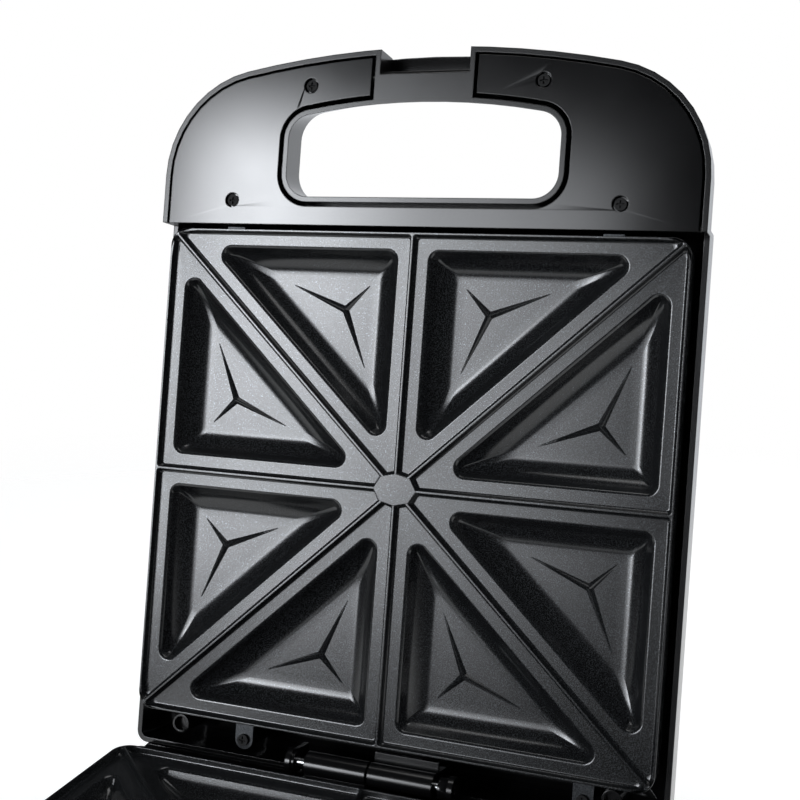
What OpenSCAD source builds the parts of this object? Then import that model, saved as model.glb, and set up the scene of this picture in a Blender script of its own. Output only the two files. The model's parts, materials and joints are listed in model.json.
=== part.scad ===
// Four-slice sandwich toaster with a hinged lid, shown with the lid standing open.
// Both halves are drawn in the same frame: X to the right along the hinge, Y from the hinge
// axis towards the handle, Z out of the cooking face. The closed halves meet at Z = 0.

/* [Cooking plates] */
// Distance from a plate's side edge to the outside of the shell
plate_side = 5.5; // [4.5:0.1:12]
// Depth of a plate over its raised edge, hinge side to handle side
plate_d = 229; // [190:1:260]
// Distance from the hinge axis to the nearest plate edge
plate_setback = 11.9; // [10.8:0.1:16]
// Gap between the raised edges of the two plates when the lid is shut
crest_gap = 1.0; // [0.6:0.1:3]
// Height of the raised edge and ribs above the flat land
rib_h = 3.2; // [2:0.1:5]
// Width of the flat top of a rib
rib_top = 0.9; // [0.6:0.1:2]
// Width that each flank of a rib covers
rib_flank = 1.9; // [1:0.1:3]
// Distance from a rib's centre, or from the plate's edge, to a pocket
pocket_margin = 7.4; // [6:0.1:12]
// Depth of a pocket below the land
pocket_depth = 9; // [6:0.5:14]
// Width that the sloping wall of a pocket covers
pocket_slope = 9; // [5:0.5:12]
// Corner radius of a pocket
pocket_r = 5.5; // [3:0.5:8]
// Thickness of the cast plate
plate_t = 2.6; // [2:0.1:4]
// Corner radius of a plate
plate_r = 8; // [4:0.5:14]
// Depth of the plate's skirt below its raised edge
skirt_h = 13.5; // [11:0.5:15]
// Width of the flat hub where the ribs meet
hub_w = 20.4; // [14:0.2:28]
// Depth of the flat hub where the ribs meet
hub_d = 14.4; // [10:0.2:22]

/* [Shells] */
// Outer width of both shells
body_w = 255; // [251:1:300]
// Wall thickness of the shells
wall = 2.4; // [1.8:0.1:3.5]
// Depth of the lid shell, from the meeting plane to its back
lid_depth = 40; // [38:0.5:60]
// Depth of the base shell, from the meeting plane to its underside
base_depth = 44; // [40:0.5:70]
// How far the shells reach behind the hinge axis
rear_reach = 7.7; // [7:0.1:9]
// Depth of the shell rim below the meeting plane
rim_drop = 11; // [10:0.5:13]
// Height of the lip on the base's rear wall, above the shell rim
rear_lip_h = 3; // [2.6:0.1:3]
// Radius of the rounded outer edges of the shells
edge_r = 14; // [6:0.5:16]
// Radius of the shells' corners on the hinge side
rear_r = 5.5; // [4:0.5:16]
// Opening angle of the lid at its stop
open_angle = 100.6; // [90:1:104]
// Number of cooling slots on each side of the underside
vent_count = 5; // [2:1:7]
// Width of a cooling slot
vent_w = 3; // [2:0.5:4]
// Length of a cooling slot
vent_l = 34; // [20:1:40]

/* [Handles] */
// Length of a handle beyond the plate
handle_len = 82.7; // [76:0.5:110]
// Thickness of a handle half
handle_t = 20; // [16:0.5:24]
// Radius of the handle's outer corners
handle_r = 50; // [30:1:60]
// Radius of the handle's bowed front edge
front_r = 440; // [300:5:900]
// Radius of the handle's rounded back edge
handle_edge_r = 6; // [2:0.5:8]
// Width of the hand hole
hole_w = 128; // [100:1:140]
// Height of the hand hole at its middle
hole_h = 42.5; // [36:0.5:50]
// Distance from the plate to the hand hole
hole_start = 15.5; // [14:0.5:22]
// Corner radius of the hand hole
hole_r = 11; // [5:0.5:16]
// Radius of the hand hole's bowed front edge
hole_front_r = 310; // [260:5:600]
// How much wider the hand hole is on each side at the handle's back
hole_draft = 2.7; // [0:0.1:3.5]
// How far the hand hole leans towards the front edge at the handle's back
hole_rise = 3.3; // [0:0.1:3.3]
// Width of the raised rim around the hand hole
hole_rim = 2.4; // [1.8:0.1:4]
// Width of the groove between the hand hole's rim and the handle cover
hole_groove = 2.1; // [0.3:0.1:3]
// Width of the groove between the shell's outer rim and the handle cover
rim_groove = 1.1; // [0.3:0.1:3]
// Distance from the hand hole to the wall of the part that holds the plate
dome_clear = 4.2; // [4:0.1:8]
// Gap between a plate and its handle cover
cover_gap = 2.5; // [2.2:0.1:4]
// Thickness of a handle cover
cover_t = 2.2; // [1.6:0.1:3]
// Half the distance between the two front cover screws
screw_x_front = 54.5; // [45:0.5:62]
// Distance from the two rear cover screws to the outside of the handle
screw_side_rear = 36.4; // [27.4:0.1:48]
// Distance from the front edge of the handle to the front cover screws
screw_in_front = 16.1; // [12:0.1:20]
// Distance from the plate to the rear cover screws
screw_in_rear = 13.6; // [10:0.1:20]

/* [Latch] */
// Width of the latch notch in the handles
notch_w = 42; // [30:1:60]
// Depth of the notch, from the front edge of the handle
notch_d = 11.7; // [11:0.1:14]
// Height of the notch in each half
notch_h = 18; // [14.5:0.5:18]
// Gap on each side of the latch in its notch
latch_side_gap = 0.8; // [0.4:0.1:1.5]
// Thickness of the latch plate
latch_t = 3; // [2:0.1:3.4]
// How far the hook reaches over its ledge
hook_bite = 1.1; // [0.6:0.1:1.2]
// Height of the finger lip on the latch
lip_h = 3; // [2:0.1:4]
// How far the latch swings outwards when it is released
latch_swing = 28; // [15:1:40]
// Depth of the latch pin below the meeting plane
latch_drop = 11; // [8:0.5:12]
// How far the ledge in the lid stands proud for the hook
ledge_out = 1.8; // [1:0.1:2.2]
// Radius of the latch pin
latch_pin_r = 1.5; // [1:0.1:1.8]

/* [Hinge] */
// Radius of the hinge barrels
barrel_r = 5.4; // [4.5:0.1:5.6]
// Radius of the steel hinge pins
pin_r = 2; // [1.5:0.1:2.5]
// How far a hinge pin reaches into its barrel
pin_in = 8; // [5:0.5:9]
// Running clearance around pins that turn
run_gap = 0.05; // [0.02:0.01:0.1]
// Left end of the base barrel
base_barrel_x = -31.7; // [-36:0.1:-30]
// Length of the base barrel
base_barrel_l = 29.4; // [26:0.1:29.4]
// Left end of the lid barrel
lid_barrel_x = -1.3; // [-1.3:0.1:0]
// Length of the lid barrel
lid_barrel_l = 29.9; // [26:0.1:30.5]
// Thickness of the ears that hold the outer ends of the pins
ear_t = 2.5; // [2:0.1:4]
// Gap between a barrel and the ear beside it
ear_gap = 6.8; // [5:0.1:8]
// Length of the boss on the base's ear
base_ear_boss = 4.4; // [0.5:0.1:4.6]
// Length of the boss on the lid's ear
lid_ear_boss = 1.3; // [0.5:0.1:4.6]
// Radius of the hollow for the leads in the barrels
lead_bore_r = 3.2; // [2.6:0.1:3.6]

/* [Plate fixings] */
// Width of the sheet-metal plate clips
clip_w = 9; // [8:0.2:14]
// Thickness of the plate clips
clip_t = 1; // [0.6:0.1:1.2]
// Distance from the left clip on the hinge side to the outside of the shell
clip_left_in = 58.5; // [46:0.5:70]
// Distance from the right clip on the hinge side to the outside of the shell
clip_right_in = 36; // [30:0.5:50]
// Distance from the clips on the handle side to the outside of the shell
clip_front_in = 38.5; // [28:0.5:50]
// Distance from the hinge axis to the clip screws
clip_screw_y = 2.5; // [1.5:0.1:3.5]
// Radius of a screw's head
head_r = 2.7; // [2.2:0.1:3]
// Height of a screw's head
head_h = 1.5; // [1:0.1:1.8]
// Radius of a screw's shank
shank_r = 1.45; // [1.2:0.05:1.7]
// Length of a screw's shank
shank_l = 10; // [8:0.5:12]

/* [Heating] */
// Radius of the tubular heating element
element_r = 3.2; // [2.8:0.1:4]
// Width of the element's loop between tube centres
element_w = 150; // [110:1:180]
// Depth of the element's loop between tube centres
element_d = 124; // [100:1:150]
// Bend radius of the element
element_bend = 20; // [14:1:26]
// Distance between the element's two ends
element_gap = 44; // [36:1:60]
// Sheet thickness of the heat reflector
reflector_t = 0.6; // [0.4:0.1:1]
// Depth of the reflector below the meeting plane
reflector_drop = 25.6; // [25:0.1:27]
// Radius of the thermostat
thermostat_r = 8; // [6:0.5:9]

/* [Feet and inlet] */
// Radius of a rubber foot
foot_r = 9; // [6:0.5:12]
// Height of a rubber foot below the base
foot_h = 6; // [4:0.5:12]
// Distance from the feet to the outside of the shell, left and right
foot_side = 29.5; // [23.5:0.5:50]
// Distance of the feet from the hinge-side and handle-side ends of the plate
foot_in = 17; // [17:1:30]
// Distance from the cord inlet to the outside of the shell
inlet_in = 41.5; // [37.5:0.5:45.5]
// Depth of the cord inlet below the meeting plane
inlet_drop = 22; // [20:0.5:22]
// Radius of the cord inlet's bore
inlet_r = 3.7; // [3:0.1:4.5]
// Length of the gland
inlet_l = 18; // [14:0.5:24]

/* [Indicator lamps] */
// Radius of a lamp lens
lens_r = 4.5; // [3:0.1:6]
// Distance between the two lenses
lens_pitch = 22; // [16:1:40]
// Distance of the lenses from the handle side of the plate
lens_in = 24; // [22:1:40]

/* [Hidden] */
$fn = 48;
lead_fn = 20;       // facets around a lead
bow_fn = 180;       // facets around the hand hole's long bow

// Small clearances, named once
seat = 0.1;        // between pieces that rest on each other
leaf_gap = 0.3;    // between a plate and a clip that springs against it
slim = 0.2;        // thickness of a slice inside a hull
cut = 1;           // how far a cutting tool runs past a face
fixed_gap = 0.02;  // around a pin that stays put
bite = 2;          // how far one form runs into the next

// Places along X, from the middle
plate_w = body_w - 2 * plate_side;
clip_left_x = clip_left_in - body_w / 2;
clip_right_x = body_w / 2 - clip_right_in;
clip_front_x = body_w / 2 - clip_front_in;
foot_x = body_w / 2 - foot_side;
inlet_x = inlet_in - body_w / 2;
screw_x_rear = body_w / 2 - screw_side_rear;

// Places along Y
crest_z = -crest_gap / 2;
plate_y0 = plate_setback;
plate_y1 = plate_setback + plate_d;
plate_yc = plate_setback + plate_d / 2;
land_z = crest_z - rib_h;
floor_z = land_z - pocket_depth;
under_z = floor_z - plate_t;
skirt_z = crest_z - skirt_h;
handle_y0 = plate_y1 + cover_gap;
handle_y1 = plate_y1 + handle_len;
hole_y0 = plate_y1 + hole_start;
hole_y1 = hole_y0 + hole_h;
hole_cy = hole_y1 - hole_front_r;
hole_corner_x = hole_w / 2 - hole_r;
hole_corner_y = hole_cy + sqrt(pow(hole_front_r - hole_r, 2) - pow(hole_corner_x, 2));
notch_y0 = handle_y1 - notch_d;
front_cy = handle_y1 - front_r;
corner_x = body_w / 2 - handle_r;
corner_y = front_cy + sqrt(pow(front_r - handle_r, 2) - pow(corner_x, 2));
corner_a = atan2(corner_y - front_cy, corner_x);
dome_y1 = hole_y0 - dome_clear - wall;
divider_t = wall;
divider_y = handle_y0;
post_in = 7;
post_d = 8.2;
block_w = notch_w + 2 * wall;
notch_flat = 4;     // how far the notch's back wall stands upright
notch_lean = 3.5;   // how far it leans forward from there to the front edge
block_groove = 1.6;

// Screw places on the handle cover
cover_screws = [[-screw_x_front, handle_y1 - screw_in_front],
                [screw_x_front, handle_y1 - screw_in_front],
                [-screw_x_rear, plate_y1 + screw_in_rear],
                [screw_x_rear, plate_y1 + screw_in_rear]];
well_gap = 0.8;
well_r = head_r + well_gap;
well_h = 2.4;
well_wall = 1.5;
cover_boss_r = well_r + well_wall;
cover_boss_h = 6;
cover_boss_z = crest_z - cover_boss_h;
boss_wall = 2.6;
boss_r = shank_r + boss_wall;
side_boss_in = 24;
side_boss_x = body_w / 2 - side_boss_in;
side_boss_y = 4.4;
side_boss_r = 4.4;
side_boss_hole = 3.3;
recess_l = head_r * 1.2;
recess_w = head_r * 0.24;
recess_h = 0.8;

// Latch, drawn shut and then swung out about its pin
latch_hub_wall = 1.7;
latch_hub_r = latch_pin_r + latch_hub_wall;
latch_hub_gap = 0.8;
latch_y = notch_y0 + latch_hub_r + latch_hub_gap;
latch_w = notch_w - 2 * latch_side_gap;
ledge_z0 = 3.5;
ledge_h = 3.5;
hook_gap = 0.4;
hook_h = 2.6;
hook_z0 = ledge_z0 + ledge_h + hook_gap;
latch_top = hook_z0 + hook_h;
latch_in_y = notch_y0 + ledge_out + hook_gap;
lip_in = 1;
lip_out = handle_y1 - lip_in - latch_y;

// Hinge
arm_z = -16;
arm_step = 1;
arm_front = barrel_r - arm_step;
arm_rear = wall / 2 - rear_reach;
web_y = 9.2;
web_z = -3.6;
web_t = 2;
ear_step = 1.1;
ear_boss_r = barrel_r - ear_step;
lid_ear_x = base_barrel_x - ear_gap - ear_t;
base_ear_x = lid_barrel_x + lid_barrel_l + ear_gap;
pin_l = ear_t + ear_gap + pin_in;
pin_stop = 1;
lead_in = 14;
base_lead_x = base_barrel_x + lead_in;
lid_lead_x = lid_barrel_x + lid_barrel_l - lead_in;
lip_end = 3;        // run of the slope at each end of the rear lip
lip_low = 0.6;      // how much lower the rear lip is behind the lid's barrel and ear
lip_gap = 0.5;      // beside the lid's barrel and ear
lead_face_x = (base_barrel_x + base_barrel_l + lid_barrel_x) / 2;
lead_gap = 0.9;
lead_r = lead_bore_r - lead_gap;

// Clips
clip_foot_z = skirt_z - reflector_t - 2 * seat;
clip_tab_z = -9;
clip_boss_z = clip_tab_z - clip_t - seat;

// Heating parts
element_z = under_z - element_r - seat / 2;
element_y0 = plate_yc - element_d / 2;
element_y1 = plate_yc + element_d / 2;
element_end_z = -28;
tag_z = -31;
tag_r = 1.3;
elbow_r = 7;
flange_in = 8;
flange_edge = 0.5;
thermo_top = land_z - plate_t - seat / 2;
thermo_h = 11;
thermo_tag_x = 4;
thermo_tag_z = -24;
hatch_gap = 3;
hatch_r = thermostat_r + hatch_gap;
thermo_tag_w = 3;
thermo_tag_t = 0.8;
element_clear = 2;

// Leads
lead_z = -34;
thick_lead_z = -31.5;
block_lead_up = 5.6;    // from the base's floor
deep_lead_up = 2.6;     // from the base's floor
block_lead_z = wall + block_lead_up - base_depth;
deep_lead_z = wall + deep_lead_up - base_depth;
wire_r = 1.3;
fuse_r = 2.4;
fuse_l = 14;
fuse_in = 20;
fuse_y = plate_yc - fuse_in;
fuse_z = -reflector_drop - seat / 2 - fuse_r;
lead_fan_y = 40;
fuse_lead = 12;
fan_back = 14;
lead_turn = [14, 8, 4];
lead_half_gap = 2;

// Terminal block on the floor of the base
terminal_w = 34;
terminal_d = 16;
terminal_h = 10;
terminal_y = 36;
terminal_pitch = 10;
terminal_well_r = 2.4;
terminal_well_h = 3;

// Lamps
lens_y = plate_y1 - lens_in;
lens_proud = 0.8;
lens_lip = 1.5;
lens_lip_h = 1.2;
lamp_r = 2.6;
lamp_l = 5;
holder_h = 6.4;
holder_d = 16;

// Gland
gland_wall = 2.3;
gland_r = inlet_r + gland_wall;
gland_hole_r = gland_r + seat;
gland_out = 6;
gland_lip = 2.2;
gland_flange_r = gland_r + gland_lip;
gland_nut_lip = 1.7;
gland_nut_r = gland_r + gland_nut_lip;
gland_flange_t = 2.5;
gland_in = rear_reach + gland_out - inlet_l;

// Things that only need a place
foot_places = [for (sx = [-1, 1], y = [plate_y0 + foot_in, plate_y1 - foot_in]) [sx * foot_x, y]];
foot_stem_r = 3;
foot_lip = 1;
foot_lip_h = 1.6;
vent_x = 42;
vent_pitch = 9;
front_leaf_drop = 2.6;
front_leaf_z = crest_z - front_leaf_drop;
star_w = 2;
star_h = 1.4;
star_reach = 0.64;
corner_steps = 5;
recess_r = 1.5;
recess_steps = 3;
hub_cut = [hub_w * 0.34, hub_d * 0.38];
lamp_z = wall + seat - lid_depth + lens_lip_h + 2 * seat;

// Standing height and where the hinge axis lies in the part's frame
hinge_z = base_depth + foot_h;
lip_reach = latch_y + lip_out * cos(latch_swing) + (latch_top + latch_drop) * sin(latch_swing);
dome_back = (dome_y1 - edge_r) * -cos(open_angle) + (lid_depth - edge_r) * sin(open_angle) + edge_r;
handle_back = (handle_y1 - handle_edge_r) * -cos(open_angle)
            + (handle_t - handle_edge_r) * sin(open_angle) + handle_edge_r;
hinge_y = (lip_reach - max(dome_back, handle_back)) / 2;

// ---------- placing ----------

// Puts a half-frame shape into the base
module in_base() {
    translate([0, hinge_y, hinge_z]) mirror([0, 1, 0]) children();
}

// Puts a half-frame shape into the open lid
module in_lid() {
    translate([0, hinge_y, hinge_z]) rotate([180 - open_angle, 0, 0]) children();
}

module both_sides() {
    children();
    mirror([1, 0, 0]) children();
}

// ---------- outlines ----------

function arc(cx, cy, r, a0, a1, n) =
    [for (i = [0:n]) let (a = a0 + (a1 - a0) * i / n) [cx + r * cos(a), cy + r * sin(a)]];

// Outline of a handle, drawn inwards by the given distance
function handle_points(inset) = concat(
    arc(corner_x, corner_y, handle_r - inset, 0, corner_a, 9),
    arc(0, front_cy, front_r - inset, corner_a, 180 - corner_a, 12),
    arc(-corner_x, corner_y, handle_r - inset, 180 - corner_a, 180, 9),
    [[inset - body_w / 2, plate_yc], [body_w / 2 - inset, plate_yc]]);

// Outline of the part of a shell that holds the plate
function pan_points(inset) = let (r = max(rear_r - inset, 0.5), e = inset + r, xe = body_w / 2 - e) concat(
    arc(xe, dome_y1 - e, r, 0, 90, 5),
    arc(-xe, dome_y1 - e, r, 90, 180, 5),
    arc(-xe, e - rear_reach, r, 180, 270, 5),
    arc(xe, e - rear_reach, r, 270, 360, 5));

// Profile of a tray between two walls, open at z_top, with round corners at the bottom
function tray_points(a, b, z_top, z_back, r) = concat(
    [[b, z_top], [a, z_top]],
    arc(a + r, z_back + r, r, 180, 270, 6),
    arc(b - r, z_back + r, r, 270, 360, 6));

// Solid of the part that holds the plate, with round back edges, from z_top down to z_back
module pan_solid(inset, z_top, z_back) {
    x = body_w / 2 - inset;
    r = edge_r - inset;
    intersection() {
        translate([0, 0, z_back]) linear_extrude(z_top - z_back) polygon(pan_points(inset));
        rotate([90, 0, 90]) linear_extrude(2 * x + 2 * cut, center = true)
            polygon(tray_points(inset - rear_reach, dome_y1 - inset, z_top + cut, z_back, r));
        translate([0, dome_y1 + cut, 0]) rotate([90, 0, 0]) linear_extrude(dome_y1 + rear_reach + 2 * cut)
            polygon(tray_points(-x, x, z_top + cut, z_back, r));
    }
}

// Solid of a handle, with its back edge rounded
module handle_solid(inset, z_top, z_back) {
    r = handle_edge_r - inset / 2;
    hull() {
        translate([0, 0, z_back + r]) linear_extrude(z_top - z_back - r) polygon(handle_points(inset));
        for (a = [30:30:90])
            translate([0, 0, z_back + r - r * sin(a)])
                linear_extrude(slim) polygon(handle_points(inset + r * (1 - cos(a))));
    }
}

// Outline of the hand hole: a rectangle with round corners and a bowed front edge
module hole_outline(grow) {
    intersection() {
        union() {
            for (sx = [-1, 1], y = [hole_y0 + hole_r, hole_corner_y])
                translate([sx * hole_corner_x, y]) circle(hole_r + grow);
            translate([-hole_corner_x, hole_y0 - grow])
                square([2 * hole_corner_x, hole_h + 2 * grow]);
            translate([-hole_w / 2 - grow, hole_y0 + hole_r])
                square([hole_w + 2 * grow, hole_corner_y - hole_y0 - hole_r]);
        }
        translate([0, hole_cy]) circle(hole_front_r + grow, $fn = bow_fn);
    }
}

// Solid of the hand hole, which widens and leans towards the handle's back
module hole_solid(grow, over) {
    hull() for (z = [crest_z + over, -handle_t - over]) {
        share = (crest_z - z) / (handle_t + crest_z);
        translate([0, share * hole_rise, z - slim / 2])
            linear_extrude(slim) hole_outline(grow + share * hole_draft);
    }
}

module plate_outline(inset) {
    r = max(plate_r - inset, 1);
    x = plate_w / 2 - inset - r;
    y = plate_d / 2 - inset - r;
    translate([0, plate_yc]) {
        for (sx = [-1, 1], sy = [-1, 1]) translate([sx * x, sy * y]) circle(r);
        square([2 * x, 2 * (y + r)], center = true);
        square([2 * (x + r), 2 * y], center = true);
    }
}

// ---------- shells ----------

// Screw boss standing on the inside of a shell
module boss(x, y, z_top, z_floor, r, bore) {
    translate([x, y, z_floor - wall / 2]) difference() {
        cylinder(r = r, h = z_top - z_floor + wall / 2);
        translate([0, 0, z_top - z_floor + wall / 2 - shank_l - cut])
            cylinder(r = bore, h = shank_l + 2 * cut);
    }
}

// Solid core between the notch and the hand hole
module notch_block() {
    intersection() {
        handle_solid(0, crest_z, -handle_t);
        translate([-block_w / 2, hole_y1 - bite, -handle_t])
            cube([block_w, handle_y1 - hole_y1 + bite, handle_t + crest_z]);
    }
}

// Hollow of the latch notch, whose back wall leans forward at its top
module notch() {
    translate([-notch_w / 2, 0, 0]) rotate([90, 0, 90]) linear_extrude(notch_w) polygon([
        [notch_y0, cut], [notch_y0, -notch_h], [notch_y0 + notch_flat, -notch_h],
        [handle_y1 + cut, notch_lean - notch_h], [handle_y1 + cut, cut]]);
}

// One shell without its hinge: the pan for the plate, and a hollow handle
module half_shell(depth) {
    inner = -depth + wall;
    handle_inner = -handle_t + wall;
    difference() {
        union() {
            difference() {
                union() {
                    pan_solid(0, -rim_drop, -depth);
                    handle_solid(0, crest_z, -handle_t);
                }
                pan_solid(wall, crest_z, inner);
                difference() {
                    handle_solid(wall, 0, handle_inner);
                    translate([-body_w / 2, 0, -depth]) cube([body_w, handle_y0 - cut, 2 * depth]);
                }
                translate([-body_w, -body_w / 2, -rim_drop])
                    cube([2 * body_w, body_w / 2 + divider_y, rim_drop + cut]);
            }
            translate([-body_w / 2 + wall / 2, divider_y, handle_inner - wall / 2])
                cube([body_w - wall, divider_t, crest_z - cover_t - seat - handle_inner + wall / 2]);
            hole_solid(hole_rim, -slim / 2);
            notch_block();
            for (p = cover_screws)
                boss(p[0], p[1], cover_boss_z - seat, handle_inner, boss_r, shank_r + run_gap);
            for (x = [clip_left_x, clip_right_x])
                boss(x, clip_screw_y, clip_boss_z, inner, boss_r, shank_r + run_gap);
            for (sx = [-1, 1]) {
                translate([sx * side_boss_x, side_boss_y, inner - wall / 2]) difference() {
                    cylinder(r = side_boss_r, h = clip_boss_z - inner + wall / 2);
                    translate([0, 0, clip_boss_z - inner - wall]) cylinder(r = side_boss_hole, h = shank_l);
                }
                translate([sx * clip_front_x - clip_w / 2, plate_y1 - post_in, inner - wall / 2])
                    cube([clip_w, post_d, clip_foot_z - clip_t - seat - inner + wall / 2]);
            }
        }
        hole_solid(0, cut);
        notch();
    }
}

// Lip on the base's rear wall that closes the slit under the open lid. It is lower where the
// lid's ear and barrel come down behind it.
module rear_lip() {
    top = rear_lip_h - rim_drop;
    low = top - lip_low;
    foot = -rim_drop - wall;
    x = body_w / 2 - rear_r;
    ear = [lid_ear_x - lid_ear_boss - lip_gap, lid_ear_x + ear_t + lip_gap];
    barrel = [lid_barrel_x - lip_gap, lid_barrel_x + lid_barrel_l + lip_gap];
    translate([0, wall - rear_reach, 0]) rotate([90, 0, 0]) linear_extrude(wall) polygon([
        [-x, foot], [-x, -rim_drop], [lip_end - x, top],
        [ear[0], top], [ear[0], low], [ear[1], low], [ear[1], top],
        [barrel[0], top], [barrel[0], low], [barrel[1], low], [barrel[1], top],
        [x - lip_end, top], [x, -rim_drop], [x, foot]]);
}

// Cylinder along X
module along_x(x, y, z, r, l) {
    translate([x, y, z]) rotate([0, 90, 0]) cylinder(r = r, h = l);
}

// Barrel and ear of one half, with the arms that join them to the shell.
// The outer end of the barrel, on the side that dir points to, holds a pin, and the rest is
// hollow for the leads, which leave it downwards at lead_x.
module hinge_leaf(barrel_x, barrel_l, ear_x, ear_boss, lead_x, dir, barrel_hole, ear_hole) {
    outer = dir > 0 ? barrel_x + barrel_l : barrel_x;
    bore_x = dir > 0 ? barrel_x - cut : barrel_x + pin_in + pin_stop;
    boss_x = dir > 0 ? ear_x + ear_t : ear_x - ear_boss;
    difference() {
        union() {
            along_x(barrel_x, 0, 0, barrel_r, barrel_l);
            translate([barrel_x, arm_rear, arm_z]) cube([barrel_l, arm_front - arm_rear, -arm_z - bite]);
            translate([barrel_x, 0, web_z - web_t]) cube([barrel_l, web_y, web_t]);
            along_x(ear_x, 0, 0, barrel_r, ear_t);
            along_x(boss_x, 0, 0, ear_boss_r, ear_boss);
            translate([ear_x, arm_rear, arm_z]) cube([ear_t, arm_front - arm_rear, -arm_z - bite]);
        }
        along_x(bore_x, 0, 0, lead_bore_r, barrel_l - pin_in - pin_stop + cut);
        along_x(outer - pin_in - cut, 0, 0, barrel_hole, 2 * (pin_in + cut));
        along_x(ear_x - ear_boss - cut, 0, 0, ear_hole, ear_t + 2 * (ear_boss + cut));
        translate([lead_x, 0, arm_z - cut]) cylinder(r = lead_bore_r, h = cut - arm_z);
    }
}

module base_shell() {
    color("#17181a") in_base() {
        difference() {
            union() {
                half_shell(base_depth);
                rear_lip();
            }
            along_x(-block_w / 2 - cut, latch_y, -latch_drop, latch_pin_r + fixed_gap, block_w + 2 * cut);
            translate([inlet_x, cut, -inlet_drop]) rotate([90, 0, 0])
                cylinder(r = gland_hole_r, h = rear_reach + 2 * cut);
            translate([0, 0, -base_depth - cut]) linear_extrude(wall + 2 * cut) {
                for (p = foot_places) translate(p) circle(foot_stem_r + seat);
                for (sx = [-1, 1], i = [0:vent_count - 1])
                    translate([sx * (vent_x + i * vent_pitch) - vent_w / 2, plate_yc - vent_l / 2])
                        square([vent_w, vent_l]);
            }
        }
        hinge_leaf(base_barrel_x, base_barrel_l, base_ear_x, base_ear_boss, base_lead_x, -1,
                   pin_r + fixed_gap, pin_r + fixed_gap);
    }
}

module lid_shell() {
    color("#17181a") in_lid() {
        difference() {
            half_shell(lid_depth);
            both_sides() translate([lens_pitch / 2, lens_y, -lid_depth - cut])
                cylinder(r = lens_r + seat, h = wall + 2 * cut);
        }
        hinge_leaf(lid_barrel_x, lid_barrel_l, lid_ear_x, lid_ear_boss, lid_lead_x, 1,
                   pin_r + run_gap, pin_r + run_gap);
        translate([-notch_w / 2, notch_y0 - slim, -ledge_z0 - ledge_h])
            cube([notch_w, ledge_out + slim, ledge_h]);
    }
}

// ---------- handle covers ----------

module handle_cover() {
    difference() {
        union() {
            translate([0, 0, crest_z - cover_t]) linear_extrude(cover_t) difference() {
                polygon(handle_points(wall + rim_groove));
                translate([-body_w / 2, 0]) square([body_w, handle_y0]);
                hole_outline(hole_rim + hole_groove);
                translate([-block_w / 2 - block_groove, hole_y1 - bite])
                    square([block_w + 2 * block_groove, handle_y1 - hole_y1 + bite]);
            }
            for (p = cover_screws)
                translate([p[0], p[1], cover_boss_z])
                    cylinder(r = cover_boss_r, h = crest_z - cover_boss_z - cover_t / 2);
        }
        for (p = cover_screws) {
            translate([p[0], p[1], crest_z - well_h]) cylinder(r = well_r, h = well_h + cut);
            translate([p[0], p[1], cover_boss_z - cut])
                cylinder(r = shank_r + 2 * seat, h = cut - cover_boss_z);
        }
    }
}

// Screw with a cross recess, seated at the given height
module screw(x, y, z) {
    translate([x, y, z]) difference() {
        union() {
            cylinder(r = head_r, h = head_h);
            translate([0, 0, -shank_l]) cylinder(r = shank_r, h = shank_l + head_h / 2);
        }
        for (a = [0, 90]) rotate([0, 0, a]) translate([-recess_l / 2, -recess_w / 2, head_h - recess_h])
            cube([recess_l, recess_w, recess_h + cut]);
    }
}

module cover_screw_set() {
    for (p = cover_screws) screw(p[0], p[1], crest_z - well_h);
}

// ---------- cooking plates ----------

// Corners of one of the eight triangles between the ribs, anticlockwise. The near edges lie
// rib_in from the ribs' centre lines and edge_in from the plate's edge. A side triangle stands
// beside the plate's side, and the other kind at its handle side.
function sector_points(side, rib_in, edge_in) =
    let (x = plate_w / 2, y = plate_d / 2, m = y / x, k = rib_in * sqrt(1 + m * m))
    side ? [[x - edge_in, rib_in], [x - edge_in, m * (x - edge_in) - k], [(rib_in + k) / m, rib_in]]
         : [[rib_in, y - edge_in], [rib_in, m * rib_in + k], [(y - edge_in - k) / m, y - edge_in]];

function unit(v) = v / norm(v);

// The same triangle with its corners rounded, as arcs of n steps
function round_points(p, r, n) = [
    for (i = [0:2])
        let (a = unit(p[(i + 2) % 3] - p[i]), b = unit(p[(i + 1) % 3] - p[i]),
             half = acos(a * b) / 2,
             c = p[i] + unit(a + b) * r / sin(half),
             a0 = atan2(a[0], -a[1]))
            for (j = [0:n]) let (t = a0 + (180 - 2 * half) * j / n) c + r * [cos(t), sin(t)]];

// Solid between two outlines of equally many points, one above the other
module loft(low, z_low, high, z_high) {
    n = len(low);
    polyhedron(
        points = concat([for (q = low) [q[0], q[1], z_low]], [for (q = high) [q[0], q[1], z_high]]),
        faces = concat([[for (i = [0:n - 1]) i]], [[for (i = [n - 1:-1:0]) n + i]],
                       [for (i = [0:n - 1]) [i, n + i, n + (i + 1) % n, (i + 1) % n]]));
}

module quarters() {
    translate([0, plate_yc, 0]) {
        children();
        mirror([1, 0, 0]) children();
        mirror([0, 1, 0]) children();
        rotate([0, 0, 180]) children();
    }
}

// Hollow of a pocket, or with a wall of thickness t the cast metal around it
module pocket(side, t) {
    low = sector_points(side, pocket_margin + pocket_slope - t, pocket_margin + pocket_slope - t);
    high = sector_points(side, pocket_margin - t, pocket_margin - t);
    z_high = t > 0 ? land_z - t / 2 : land_z + rib_h / 2;
    loft(round_points(low, pocket_r / 2, corner_steps), floor_z - t,
         round_points(high, pocket_r, corner_steps), z_high);
}

// The recess between the ribs, above the land
module recess(side) {
    spread = rib_flank * cut / rib_h;
    low = sector_points(side, rib_top / 2 + rib_flank, rib_top + rib_flank);
    high = sector_points(side, rib_top / 2 - spread, rib_top - spread);
    loft(round_points(low, recess_r, recess_steps), land_z,
         round_points(high, recess_r, recess_steps), crest_z + cut);
}

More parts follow.
